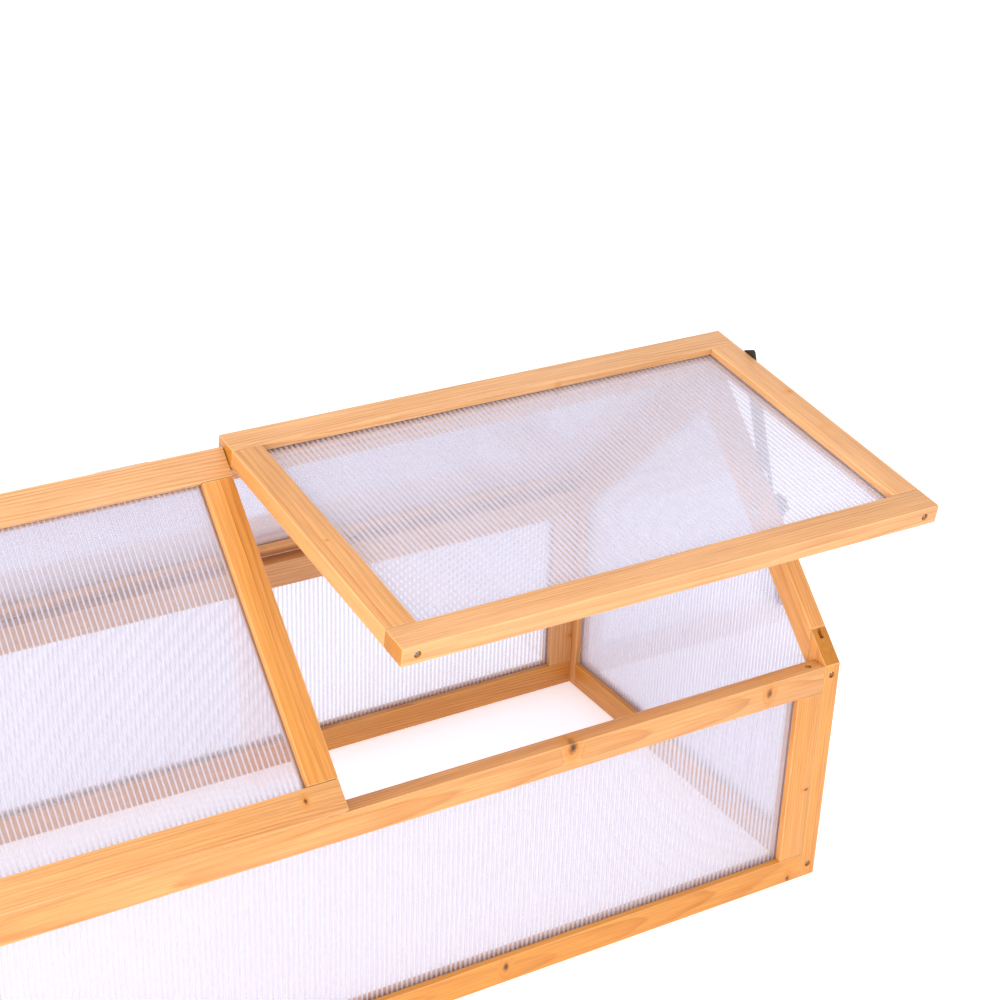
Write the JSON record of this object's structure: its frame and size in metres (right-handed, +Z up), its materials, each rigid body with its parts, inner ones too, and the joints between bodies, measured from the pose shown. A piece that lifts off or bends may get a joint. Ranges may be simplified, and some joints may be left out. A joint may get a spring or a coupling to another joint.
{
  "type": "cold frame",
  "caption": "Low gabled wooden cold frame glazed with twin-wall sheet, with ridge-hinged lids on slotted stays",
  "frame": {"origin": "middle of the underside of the front wall, where it stands on the ground", "axes": "+X along the ridge to the right as seen from the front, +Y from the front wall to the back wall, +Z up"},
  "size_m": [1.1328, 0.5773, 0.5166],
  "materials": {
    "fir": "planed softwood with a thin honey-coloured stain, satin",
    "twin_wall_sheet": "clear twin-wall polycarbonate sheet with fine flutes, glossy",
    "zinc_steel": "zinc-plated pressed steel",
    "black_steel": "black powder coat, satin",
    "black_plastic": "moulded black plastic, matt"
  },
  "bodies": {
    "frame": {"back_roof_bottom_rail": "fir", "back_roof_left_stile": "fir", "back_roof_panel": "twin_wall_sheet", "back_roof_right_stile": "fir", "back_roof_top_rail": "fir", "back_wall_bottom_rail": "fir", "back_wall_left_stile": "fir", "back_wall_panel": "twin_wall_sheet", "back_wall_right_stile": "fir", "back_wall_top_rail": "fir", "front_wall_bottom_rail": "fir", "front_wall_left_stile": "fir", "front_wall_panel": "twin_wall_sheet", "front_wall_right_stile": "fir", "front_wall_top_rail": "fir", "left_clamp_bolt": "zinc_steel", "left_clamp_washer": "black_steel", "left_end_back_post": "fir", "left_end_back_rafter": "fir", "left_end_bottom_rail": "fir", "left_end_front_post": "fir", "left_end_front_rafter": "fir", "left_end_panel": "twin_wall_sheet", "left_lid_hinge_1_frame_leaf": "zinc_steel", "left_lid_hinge_1_pin": "zinc_steel", "left_lid_hinge_2_frame_leaf": "zinc_steel", "left_lid_hinge_2_pin": "zinc_steel", "right_clamp_bolt": "zinc_steel", "right_clamp_washer": "black_steel", "right_end_back_post": "fir", "right_end_back_rafter": "fir", "right_end_bottom_rail": "fir", "right_end_front_post": "fir", "right_end_front_rafter": "fir", "right_end_panel": "twin_wall_sheet", "right_lid_hinge_1_frame_leaf": "zinc_steel", "right_lid_hinge_1_pin": "zinc_steel", "right_lid_hinge_2_frame_leaf": "zinc_steel", "right_lid_hinge_2_pin": "zinc_steel"},
    "right_lid": {"right_lid_bottom_rail": "fir", "right_lid_hinge_1_lid_leaf": "zinc_steel", "right_lid_hinge_2_lid_leaf": "zinc_steel", "right_lid_left_stile": "fir", "right_lid_panel": "twin_wall_sheet", "right_lid_right_stile": "fir", "right_lid_top_rail": "fir", "right_stay_pivot_screw": "black_steel"},
    "left_lid": {"left_lid_bottom_rail": "fir", "left_lid_hinge_1_lid_leaf": "zinc_steel", "left_lid_hinge_2_lid_leaf": "zinc_steel", "left_lid_left_stile": "fir", "left_lid_panel": "twin_wall_sheet", "left_lid_right_stile": "fir", "left_lid_top_rail": "fir", "left_stay_pivot_screw": "black_steel"},
    "right_stay": {"right_stay_arm": "black_steel"},
    "left_stay": {"left_stay_arm": "black_steel"},
    "right_knob": {"right_clamp_knob": "black_plastic"},
    "left_knob": {"left_clamp_knob": "black_plastic"}
  },
  "joints": [
    {"name": "right_lid_hinge", "type": "hinge", "parent": "frame", "child": "right_lid", "pos_m": [0.275, 0.23585, 0.49885], "axis": [-1, 0, 0], "range_deg": [-37.5, 0]},
    {"name": "left_lid_hinge", "type": "hinge", "parent": "frame", "child": "left_lid", "pos_m": [-0.275, 0.23585, 0.49885], "axis": [-1, 0, 0], "range_deg": [0, 37.5]},
    {"name": "right_stay_pivot", "type": "hinge", "parent": "right_lid", "child": "right_stay", "pos_m": [0.552, 0.17614, 0.50037], "axis": [-1, 0, 0], "range_deg": [-1, 50]},
    {"name": "left_stay_pivot", "type": "hinge", "parent": "left_lid", "child": "left_stay", "pos_m": [-0.552, 0.18755, 0.46371], "axis": [-1, 0, 0], "range_deg": [-50, 1]},
    {"name": "right_knob_turn", "type": "hinge", "parent": "frame", "child": "right_knob", "pos_m": [0.56, 0.12307, 0.36556], "axis": [1, 0, 0], "range_deg": [0, 360]},
    {"name": "left_knob_turn", "type": "hinge", "parent": "frame", "child": "left_knob", "pos_m": [-0.56, 0.12307, 0.36556], "axis": [-1, 0, 0], "range_deg": [0, 360]}
  ],
  "couplings": [
    {"joint": "right_stay_pivot", "follows": "right_lid_hinge", "ratio": -1.31},
    {"joint": "left_stay_pivot", "follows": "left_lid_hinge", "ratio": -1.31}
  ]
}
